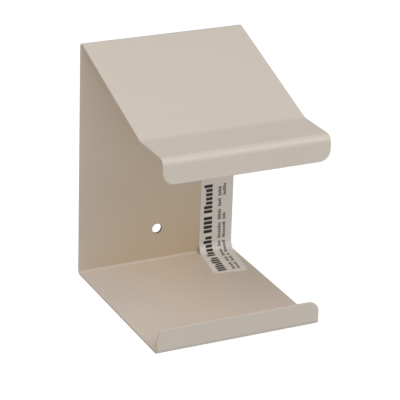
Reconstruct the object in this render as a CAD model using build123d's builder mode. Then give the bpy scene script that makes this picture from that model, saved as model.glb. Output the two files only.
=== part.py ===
from build123d import *
import math
import os

# Wall-mounted holder for a carton of disposable gloves: one strip of sheet steel folded
# into a shelf with a lip, a back with two screw holes, and a sloping roof that ends in a
# level flange with a hanging lip.  Both sides are open.  A printed label is stuck into
# the corner between the back and the shelf.
#
# Frame: +Y points into the wall, +Z up, X across the width.  The origin lies on the
# rear face of the back, midway between the two screw holes.  Millimetres and degrees.

# Sheet
width = 114.3
sheet_thickness = 1.5
bend_radius = 1.5
edge_rounding = 0.35

# Side view, measured on the outside of the sheet between sharp corners.  The shelf's lip
# leans back, the flange rises a little to the front, and the roof's lip flares forward.
back_height = 165.1
shelf_depth = 127.6
shelf_lip_height = 16.5
shelf_lip_lean_angle = 1.0
roof_length = 101.6
roof_slope_angle = 19.6
flange_length = 33.5
flange_rise_angle = 0.5
roof_lip_height = 16.5
roof_lip_flare_angle = 5.2
crease_radius = 12.0
nose_radius = 3.5
lip_corner_radius = 7.5

# Screw holes in the back, one above the other
screw_hole_diameter = 7.0
screw_hole_pitch = 76.2
lower_hole_height = 24.5

# Label, stuck to the back and the shelf, bridging the bend between them
label_width = 24.3
label_side_margin = 0.1
label_rise = 61.0
label_run = 38.0
label_skew_angle = 9.1
label_bridge_radius = 7.0
label_corner_radius = 3.0
label_thickness = 0.2

upright = 90
shelf_underside = -(lower_hole_height + screw_hole_pitch / 2)
shelf_top = shelf_underside + sheet_thickness
back_front = -sheet_thickness


def step(start, length, angle):
    """The (Y, Z) point that lies length away from start, angle degrees above the front."""
    forward = length * math.cos(math.radians(angle))
    up = length * math.sin(math.radians(angle))
    return (start[0] - forward, start[1] + up)


# Sharp corners on the outside of the sheet, as (Y, Z), from the shelf's lip round to the
# roof's lip
shelf_rear = (0, shelf_underside)
shelf_front = (-shelf_depth, shelf_underside)
shelf_lip_top = step(shelf_front, shelf_lip_height, upright + shelf_lip_lean_angle)
roof_rear = (0, shelf_underside + back_height)
roof_front = step(roof_rear, roof_length, -roof_slope_angle)
flange_front = step(roof_front, flange_length, flange_rise_angle)
roof_lip_bottom = step(flange_front, roof_lip_height, roof_lip_flare_angle - upright)

# Outside radii of the five bends.  The crease between roof and flange is bent the other
# way, so there the outside of the sheet has the inside radius of the bend.
tight_outside = bend_radius + sheet_thickness
nose_outside = nose_radius + sheet_thickness
outside_radii = [tight_outside, tight_outside, tight_outside, crease_radius, nose_outside]

with BuildPart() as bracket:
    with BuildSketch(Plane.YZ) as folded_section:
        with BuildLine() as folded_line:
            FilletPolyline(
                shelf_lip_top,
                shelf_front,
                shelf_rear,
                roof_rear,
                roof_front,
                flange_front,
                roof_lip_bottom,
                radius=outside_radii,
            )
            offset(amount=sheet_thickness, side=Side.LEFT)
        make_face()
    extrude(amount=width / 2, both=True)

    # Round the free corners of both lips
    lip_ends = bracket.faces().filter_by(
        lambda face: math.isclose(face.area, width * sheet_thickness, rel_tol=1e-6)
    )
    fillet(lip_ends.edges().filter_by(Axis.X, reverse=True), lip_corner_radius)

    # Soften the cut rim of the sheet, all round both of its faces
    fresh_faces = bracket.faces(Select.LAST)
    corner_rounds = fresh_faces.filter_by(GeomType.CYLINDER)
    trimmed_ends = fresh_faces.filter_by(GeomType.PLANE).sort_by(SortBy.AREA)[:2]
    cut_faces = bracket.faces().filter_by(Axis.X) + corner_rounds + trimmed_ends
    skin_faces = bracket.faces() - cut_faces
    fillet(cut_faces.edges() & skin_faces.edges(), edge_rounding)

    # Screw holes through the back
    with BuildSketch(Plane.XZ) as screw_holes:
        with GridLocations(0, screw_hole_pitch, 1, 2):
            Circle(screw_hole_diameter / 2)
    extrude(amount=sheet_thickness, mode=Mode.SUBTRACT)
bracket.part.label = "bracket"

# The label is an L in side view.  Its long sides are two upright cuts set askew: the
# label stands plumb on the back and runs askew over the shelf.
across_label = Vector(1, 0, 0).rotate(Axis.Z, -label_skew_angle)
along_label = Vector(0, -1, 0).rotate(Axis.Z, -label_skew_angle)
label_right = width / 2 - label_side_margin
label_middle = label_right - label_width / 2 / math.cos(math.radians(label_skew_angle))
label_corner = (label_middle, back_front, shelf_top)

with BuildPart() as label:
    with BuildSketch(Plane.YZ) as label_section:
        with BuildLine() as label_line:
            FilletPolyline(
                (back_front - label_run - label_width, shelf_top),
                (back_front, shelf_top),
                (back_front, shelf_top + label_rise),
                radius=label_bridge_radius,
            )
            offset(amount=label_thickness, side=Side.LEFT)
        make_face()
    extrude(amount=width, both=True)

    # Trim it to its outline, looking along it from the front and then from above
    with BuildSketch(Plane(label_corner, across_label, along_label)) as label_front_view:
        RectangleRounded(label_width, 2 * label_rise, label_corner_radius)
    extrude(amount=2 * label_run, both=True, mode=Mode.INTERSECT)
    with BuildSketch(Plane(label_corner, across_label, Vector(0, 0, 1))) as label_top_view:
        RectangleRounded(label_width, 2 * label_run, label_corner_radius)
    extrude(amount=2 * label_rise, both=True, mode=Mode.INTERSECT)
label.part.label = "label"

os.makedirs("parts", exist_ok=True)
export_step(bracket.part, "parts/bracket.step")
export_step(label.part, "parts/label.step")
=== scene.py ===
import math
import random

import bpy
from mathutils import Matrix, Vector


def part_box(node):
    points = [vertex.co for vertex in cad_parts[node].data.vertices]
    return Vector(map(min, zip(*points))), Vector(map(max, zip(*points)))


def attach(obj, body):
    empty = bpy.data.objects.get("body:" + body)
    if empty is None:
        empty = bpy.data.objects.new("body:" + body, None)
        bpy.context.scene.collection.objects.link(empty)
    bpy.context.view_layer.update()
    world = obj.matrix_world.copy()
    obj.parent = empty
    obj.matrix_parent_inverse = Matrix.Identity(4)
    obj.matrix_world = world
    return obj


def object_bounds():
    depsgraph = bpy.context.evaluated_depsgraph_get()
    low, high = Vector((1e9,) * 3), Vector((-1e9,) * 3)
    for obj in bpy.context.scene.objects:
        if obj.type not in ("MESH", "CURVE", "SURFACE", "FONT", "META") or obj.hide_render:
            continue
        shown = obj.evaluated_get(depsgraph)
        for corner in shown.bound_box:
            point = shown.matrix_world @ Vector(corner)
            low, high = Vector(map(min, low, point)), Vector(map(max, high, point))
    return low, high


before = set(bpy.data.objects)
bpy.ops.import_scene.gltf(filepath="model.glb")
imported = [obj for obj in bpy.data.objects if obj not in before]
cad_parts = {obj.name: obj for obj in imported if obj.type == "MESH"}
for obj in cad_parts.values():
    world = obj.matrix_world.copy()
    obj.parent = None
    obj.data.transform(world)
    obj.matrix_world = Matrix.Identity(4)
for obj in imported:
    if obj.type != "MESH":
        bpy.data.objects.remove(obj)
cad_low, cad_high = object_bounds()
label_low, label_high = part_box("label")

# Glove carton holder of folded, powder coated sheet steel, with a printed label stuck into
# its corner.  The CAD nodes are shown as they are.  This script gives them their materials
# and adds the print.  Metres and degrees, in the part's frame: +Y into the wall, +Z up,
# origin on the rear face of the back, midway between the two screw holes.

MILLIMETRE = 0.001

# Camera, as fitted to the photograph: turned right of +Y, tipped down, and rolled
CAMERA_PLACE = (-0.51816, -1.10420, 0.50454)
CAMERA_YAW = 26.5145
CAMERA_DOWN = 23.1383
CAMERA_ROLL = 2.024
FOCAL_LENGTH = 176.43
SENSOR_WIDTH = 36.0

# Light: the name, place, side and power of each soft box, all aimed at the same point, and
# a sky over a brighter ground, with a soft horizon between them
LIGHT_AIM = (0, -0.06, 0)
SOFT_BOXES = [
    ("key_light", (-1.0, -0.6, 1.3), 1.0, 15.3),
    ("front_light", (0, -1.4, 1.3), 0.9, 5.1),
    ("high_fill_light", (1.0, -1.0, 1.3), 0.9, 3.9),
    ("low_fill_light", (1.15, -1.15, 0.8), 0.9, 2.4),
]
SKY_STRENGTH = 0.385
GROUND_STRENGTH = 0.63
HORIZON_HEIGHT = 0.1

# Floor: a white sheet just under the holder.  It glows, so that it stays white round the
# holder, and the holder's light doesn't depend on it.
FLOOR_REACH = 30.0
FLOOR_GAP = 0.2 * MILLIMETRE
FLOOR_COLOUR = (0.36, 0.36, 0.36, 1)
FLOOR_SHADE = (0.37, 0.37, 0.37, 1)
FLOOR_GRAIN = 200 * MILLIMETRE
FLOOR_ROUGHNESS = 0.9
FLOOR_GLOW = 0.80
WHITE = (1, 1, 1, 1)

# Materials.  A noise mostly lies in this range, which is stretched to the values wanted.
NOISE_RANGE = (0.3, 0.7)

# Powder coat.  A roughness is the grain of its noise and its lowest and highest value.  A
# bump is the grain of its noise, its strength and its height.
COAT_COLOUR = (0.60, 0.536, 0.465, 1)
COAT_SHADE = (0.585, 0.522, 0.452, 1)
COAT_CLOUD = 50 * MILLIMETRE
COAT_CLOUD_DETAIL = 3.0
COAT_ROUGHNESS = (4 * MILLIMETRE, 0.23, 0.26)
COAT_PEEL = (1.2 * MILLIMETRE, 0.35, 0.05 * MILLIMETRE)
COAT_GRAIN = (0.4 * MILLIMETRE, 0.3, 0.02 * MILLIMETRE)
COAT_REFRACTION = 1.5

# Painted shade and bounce light: the coat is darkened and warmed where the sheet's own faces close
# it in, not at the first share of open sky, and fully at the second.  This painted shade also
# grows to the right, from the left edge to the right edge on the back, and from the left edge to
# the middle on the shelf.
CORNER_SHADE_REACH = 0.3
OPEN_TO_CLOSED = (1.0, 0.4)
UPRIGHT_SHADE_TINT = (1.02, 0.87, 0.64, 1)
UPRIGHT_SHADE_SHARES = (0.45, 1.0)
LEVEL_SHADE_TINT = (1.0, 0.89, 0.80, 1)
LEVEL_SHADE_SHARES = (0.0, 0.8)

# Painted shade on the cut rim, which faces along X: the coat is darkened there
RIM_PAINTED_SHADE = (0.74, 0.69, 0.63, 1)
RIM_SHADE_FACING = (0.3, 0.8)

# The walls of the two screw holes, placed as in the part, are painted dark: painted shade
HOLE_SHADE_COLOUR = (0.08, 0.07, 0.06, 1)
HOLE_HEIGHT = 38.1 * MILLIMETRE
HOLE_RADIUS = 3.5 * MILLIMETRE
HOLE_MARGIN = 0.2 * MILLIMETRE

# Label film
FILM_COLOUR = (0.745, 0.69, 0.635, 1)
FILM_SHADE = (0.715, 0.665, 0.61, 1)
FILM_MOTTLE = 6 * MILLIMETRE
FILM_ROUGHNESS = (2 * MILLIMETRE, 0.38, 0.46)
FILM_GRAIN = (0.8 * MILLIMETRE, 0.2, 0.03 * MILLIMETRE)

# Inks: name, colour and shade
BOLD_INK = ("bold_ink", (0.012, 0.01, 0.009, 1), (0.025, 0.022, 0.02, 1))
FINE_INK = ("fine_ink", (0.09, 0.083, 0.075, 1), (0.13, 0.12, 0.11, 1))
INK_MOTTLE = 0.6 * MILLIMETRE
INK_ROUGHNESS = (1 * MILLIMETRE, 0.4, 0.5)

# Label, as in the part
LABEL_WIDTH = 24.3 * MILLIMETRE
LABEL_RUN = 38.0 * MILLIMETRE
LABEL_SKEW = 9.1
LABEL_BRIDGE_RADIUS = 7.0 * MILLIMETRE
LABEL_THICKNESS = 0.2 * MILLIMETRE

# Print on the label: rows of plain blocks in place of words.  A row is its base line's
# place across the label, the height of its tall and low blocks, the length of a block,
# and the lengths of its words from the label's foot upwards, all in millimetres.  A
# negative word is a space.
PRINT_ROWS = {
    "print_title": (-2.6, 6.3, 4.9, 3.2, (22, 18, 13, 22)),
    "print_fine_left": (4.0, 2.5, 1.9, 1.3, (11, 7, 9, 4, 12, 8, 6, 7)),
    "print_fine_right": (7.4, 2.3, 1.7, 1.2, (10, 8, 3, 10, 12, 5, -9, 9)),
}
PRINT_FOOT = 4.0 * MILLIMETRE
PRINT_LEAN = 0.018
PRINT_THICKNESS = 0.04 * MILLIMETRE
WORD_GAP = 2.0
PRINT_SEED = 4
TALL_SHARE = 0.3
BLOCK_SHARE = 0.74
BLOCK_ROUNDING = 0.2
ROUND_STEPS = 3
BEND_STEP = 0.6 * MILLIMETRE


def make_camera():
    data = bpy.data.cameras.new("camera")
    data.lens = FOCAL_LENGTH
    data.sensor_width = SENSOR_WIDTH
    camera = bpy.data.objects.new("camera", data)
    turn = Matrix.Rotation(math.radians(-CAMERA_YAW), 4, "Z")
    tip = Matrix.Rotation(math.radians(90 - CAMERA_DOWN), 4, "X")
    roll = Matrix.Rotation(math.radians(CAMERA_ROLL), 4, "Z")
    camera.matrix_world = Matrix.Translation(CAMERA_PLACE) @ turn @ tip @ roll
    bpy.context.scene.collection.objects.link(camera)
    bpy.context.scene.camera = camera


def make_soft_box(name, place, side, power):
    data = bpy.data.lights.new(name, "AREA")
    data.size = side
    data.energy = power
    light = bpy.data.objects.new(name, data)
    light.location = place
    direction = Vector(LIGHT_AIM) - Vector(place)
    light.rotation_euler = direction.to_track_quat("-Z", "Y").to_euler()
    bpy.context.scene.collection.objects.link(light)


def make_sky():
    world = bpy.data.worlds.new("sky")
    world.use_nodes = True
    tree = world.node_tree
    direction = tree.nodes.new("ShaderNodeTexCoord")
    height = tree.nodes.new("ShaderNodeSeparateXYZ")
    strength = tree.nodes.new("ShaderNodeMapRange")
    strength.inputs["From Min"].default_value = -HORIZON_HEIGHT
    strength.inputs["From Max"].default_value = HORIZON_HEIGHT
    strength.inputs["To Min"].default_value = GROUND_STRENGTH
    strength.inputs["To Max"].default_value = SKY_STRENGTH
    tree.links.new(direction.outputs["Generated"], height.inputs["Vector"])
    tree.links.new(height.outputs["Z"], strength.inputs["Value"])
    background = tree.nodes["Background"]
    background.inputs["Color"].default_value = WHITE
    tree.links.new(strength.outputs["Result"], background.inputs["Strength"])
    bpy.context.scene.world = world


class Nodes:
    """A new material, and short ways to add nodes to it."""

    def __init__(self, name):
        self.material = bpy.data.materials.new(name)
        self.material.use_nodes = True
        self.tree = self.material.node_tree
        self.shader = self.tree.nodes["Principled BSDF"]
        coordinates = self.add("ShaderNodeTexCoord").outputs
        self.place = coordinates["Object"]
        self.normal = coordinates["Normal"]

    def add(self, kind, inputs=None, **settings):
        node = self.tree.nodes.new(kind)
        for name, value in settings.items():
            setattr(node, name, value)
        for name, value in (inputs or {}).items():
            self.feed(node, name, value)
        return node

    def feed(self, node, name, value):
        """Link the value to that input if it is another node's output, and else set it."""
        if isinstance(value, bpy.types.NodeSocket):
            self.tree.links.new(value, node.inputs[name])
        else:
            node.inputs[name].default_value = value

    def noise(self, grain, detail=2.0):
        """Noise from 0 to 1 whose grain is that many metres."""
        inputs = {"Vector": self.place, "Scale": 1 / grain, "Detail": detail}
        return self.add("ShaderNodeTexNoise", inputs).outputs["Fac"]

    def spread(self, value, start, end, to_start=0.0, to_end=1.0):
        """The value, mapped from one range to the other and held at its ends."""
        inputs = {"Value": value, "From Min": start, "From Max": end}
        inputs.update({"To Min": to_start, "To Max": to_end})
        return self.add("ShaderNodeMapRange", inputs).outputs["Result"]

    def axis(self, vector, name):
        return self.add("ShaderNodeSeparateXYZ", {"Vector": vector}).outputs[name]

    def reckon(self, operation, *values):
        node = self.add("ShaderNodeMath", dict(enumerate(values)), operation=operation)
        return node.outputs["Value"]

    def facing(self, name):
        """How squarely the surface faces along that axis, either way, from 0 to 1."""
        return self.reckon("ABSOLUTE", self.axis(self.normal, name))

    def mix(self, share, first, second, way="MIX"):
        node = self.add("ShaderNodeMix", data_type="RGBA", blend_type=way)
        self.feed(node, 0, share)
        self.feed(node, 6, first)
        self.feed(node, 7, second)
        return node.outputs[2]

    def roughen(self, grain, low, high):
        roughness = self.spread(self.noise(grain), *NOISE_RANGE, low, high)
        self.feed(self.shader, "Roughness", roughness)

    def bump(self, bumps):
        """Lay bumps over each other, each a grain, a strength and a height."""
        normal = None
        for grain, strength, height in bumps:
            inputs = {"Height": self.noise(grain), "Strength": strength, "Distance": height}
            if normal is not None:
                inputs["Normal"] = normal
            normal = self.add("ShaderNodeBump", inputs).outputs["Normal"]
        self.feed(self.shader, "Normal", normal)


def paint_corner_shade(nodes, colour):
    # Painted shade and bounce light: the coat's colour is darkened and warmed by ambient
    # occlusion, more towards the right
    openness = nodes.add("ShaderNodeAmbientOcclusion", {"Distance": CORNER_SHADE_REACH}, only_local=True)
    corner_shade = nodes.spread(openness.outputs["AO"], *OPEN_TO_CLOSED)
    beside = nodes.axis(nodes.place, "X")
    upright_shade_share = nodes.spread(beside, cad_low.x, cad_high.x, *UPRIGHT_SHADE_SHARES)
    level_shade_share = nodes.spread(beside, cad_low.x, 0, *LEVEL_SHADE_SHARES)
    upright_painted_shade = nodes.reckon("MULTIPLY", corner_shade, upright_shade_share)
    level_painted_shade = nodes.reckon("MULTIPLY", corner_shade, level_shade_share)
    upright = nodes.mix(upright_painted_shade, colour, UPRIGHT_SHADE_TINT, "MULTIPLY")
    level = nodes.mix(level_painted_shade, colour, LEVEL_SHADE_TINT, "MULTIPLY")
    return nodes.mix(nodes.facing("Z"), upright, level)


def shaded_hole_walls(nodes):
    """1 on the walls of the two screw holes and 0 elsewhere."""
    height = nodes.reckon("ABSOLUTE", nodes.axis(nodes.place, "Z"))
    above = nodes.reckon("SUBTRACT", height, HOLE_HEIGHT)
    beside = nodes.axis(nodes.place, "X")
    squares = nodes.reckon("MULTIPLY", above, above), nodes.reckon("MULTIPLY", beside, beside)
    distance = nodes.reckon("SQRT", nodes.reckon("ADD", *squares))
    return nodes.reckon("LESS_THAN", distance, HOLE_RADIUS + HOLE_MARGIN)


def powder_coat():
    nodes = Nodes("powder_coat")
    cloud = nodes.spread(nodes.noise(COAT_CLOUD, COAT_CLOUD_DETAIL), *NOISE_RANGE)
    colour = paint_corner_shade(nodes, nodes.mix(cloud, COAT_COLOUR, COAT_SHADE))
    # Painted shade: faces that point along X are darkened
    rim_shade = nodes.spread(nodes.facing("X"), *RIM_SHADE_FACING)
    colour = nodes.mix(rim_shade, colour, RIM_PAINTED_SHADE, "MULTIPLY")
    # Painted shade on the walls of the screw holes
    colour = nodes.mix(shaded_hole_walls(nodes), colour, HOLE_SHADE_COLOUR)
    nodes.feed(nodes.shader, "Base Color", colour)
    nodes.roughen(*COAT_ROUGHNESS)
    nodes.bump([COAT_PEEL, COAT_GRAIN])
    nodes.shader.inputs["IOR"].default_value = COAT_REFRACTION
    return nodes.material


def label_film():
    nodes = Nodes("label_film")
    colour = nodes.mix(nodes.noise(FILM_MOTTLE), FILM_COLOUR, FILM_SHADE)
    nodes.feed(nodes.shader, "Base Color", colour)
    nodes.roughen(*FILM_ROUGHNESS)
    nodes.bump([FILM_GRAIN])
    return nodes.material


def print_ink(name, colour, shade):
    nodes = Nodes(name)
    mottled = nodes.mix(nodes.noise(INK_MOTTLE), colour, shade)
    nodes.feed(nodes.shader, "Base Color", mottled)
    nodes.roughen(*INK_ROUGHNESS)
    return nodes.material


def floor_paint():
    nodes = Nodes("floor_paint")
    colour = nodes.mix(nodes.noise(FLOOR_GRAIN), FLOOR_COLOUR, FLOOR_SHADE)
    nodes.feed(nodes.shader, "Base Color", colour)
    nodes.shader.inputs["Roughness"].default_value = FLOOR_ROUGHNESS
    nodes.shader.inputs["Emission Color"].default_value = WHITE
    nodes.shader.inputs["Emission Strength"].default_value = FLOOR_GLOW
    nodes.material.cycles.emission_sampling = "NONE"
    return nodes.material


def paint(piece, material):
    piece.data.materials.clear()
    piece.data.materials.append(material)


def make_piece(name, points, faces, material):
    mesh = bpy.data.meshes.new(name)
    mesh.from_pydata(points, [], faces)
    piece = bpy.data.objects.new(name, mesh)
    bpy.context.scene.collection.objects.link(piece)
    paint(piece, material)
    return piece


def label_point(along, across, lift):
    """A point over the label: along it from its foot, across it from its middle, lifted off it."""
    radius = LABEL_BRIDGE_RADIUS - LABEL_THICKNESS
    flat = LABEL_RUN - LABEL_BRIDGE_RADIUS
    turn = min(max((along - flat) / radius, 0), math.pi / 2)
    beyond = max(along - flat - radius * math.pi / 2, 0)
    forward = LABEL_BRIDGE_RADIUS + max(flat - along, 0) - (radius - lift) * math.sin(turn)
    up = LABEL_BRIDGE_RADIUS + beyond - (radius - lift) * math.cos(turn)
    skew = math.radians(LABEL_SKEW)
    middle = label_high.x - LABEL_WIDTH / 2 / math.cos(skew)
    side = middle + across / math.cos(skew) - forward * math.tan(skew)
    return (side, label_high.y - forward, label_low.z + up)


def block_stations(length, rounding):
    """Places along a block with rounded ends, each with how far its sides draw in there."""
    turns = [step / ROUND_STEPS * math.pi / 2 for step in range(ROUND_STEPS)]
    start = [(rounding * (1 - math.cos(turn)), rounding * (1 - math.sin(turn))) for turn in turns]
    straight = length - 2 * rounding
    count = max(1, round(straight / BEND_STEP))
    middle = [(rounding + straight * step / count, 0) for step in range(count + 1)]
    return start + middle + [(length - place, inset) for place, inset in reversed(start)]


def add_block(points, faces, foot, length, base, height):
    """Add a flat block with rounded ends: a ring of four points at each place along it."""
    first = len(points)
    half = PRINT_THICKNESS / 2
    for place, inset in block_stations(length, BLOCK_ROUNDING * min(length, height)):
        along = foot + place
        lean = PRINT_LEAN * (LABEL_RUN - along)
        left, right = base + lean - height + inset, base + lean - inset
        ring = (left, half), (right, half), (right, -half), (left, -half)
        points += [label_point(along, across, lift) for across, lift in ring]
    last = len(points) - 4
    for ring_start in range(first, last, 4):
        for side in range(4):
            near, after = ring_start + side, ring_start + (side + 1) % 4
            faces.append((near, after, after + 4, near + 4))
    faces.append((first + 3, first + 2, first + 1, first))
    faces.append((last, last + 1, last + 2, last + 3))


def make_print_row(name, row, ink, dice):
    base, tall, low, block, words = row
    points, faces = [], []
    foot = PRINT_FOOT
    for word in words:
        count = max(0, round(word / block))
        pitch = word * MILLIMETRE / max(count, 1)
        for index in range(count):
            height = tall if index == 0 or dice.random() < TALL_SHARE else low
            add_block(points, faces, foot + index * pitch, pitch * BLOCK_SHARE,
                      base * MILLIMETRE, height * MILLIMETRE)
        foot += (abs(word) + WORD_GAP) * MILLIMETRE
    piece = make_piece(name, points, faces, ink)
    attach(piece, "root")


def make_floor():
    level = cad_low.z - FLOOR_GAP
    square = (-1, -1), (1, -1), (1, 1), (-1, 1)
    corners = [(x * FLOOR_REACH, y * FLOOR_REACH, level) for x, y in square]
    floor = make_piece("floor", corners, [range(len(corners))], floor_paint())
    floor.visible_diffuse = False
    floor.visible_glossy = False
    floor.visible_shadow = False


bpy.context.scene.view_settings.view_transform = "Standard"
make_camera()
make_sky()
for soft_box in SOFT_BOXES:
    make_soft_box(*soft_box)
paint(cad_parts["bracket"], powder_coat())
paint(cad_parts["label"], label_film())
bold_ink, fine_ink = print_ink(*BOLD_INK), print_ink(*FINE_INK)
dice = random.Random(PRINT_SEED)
for name, row in PRINT_ROWS.items():
    make_print_row(name, row, bold_ink if name == "print_title" else fine_ink, dice)
make_floor()
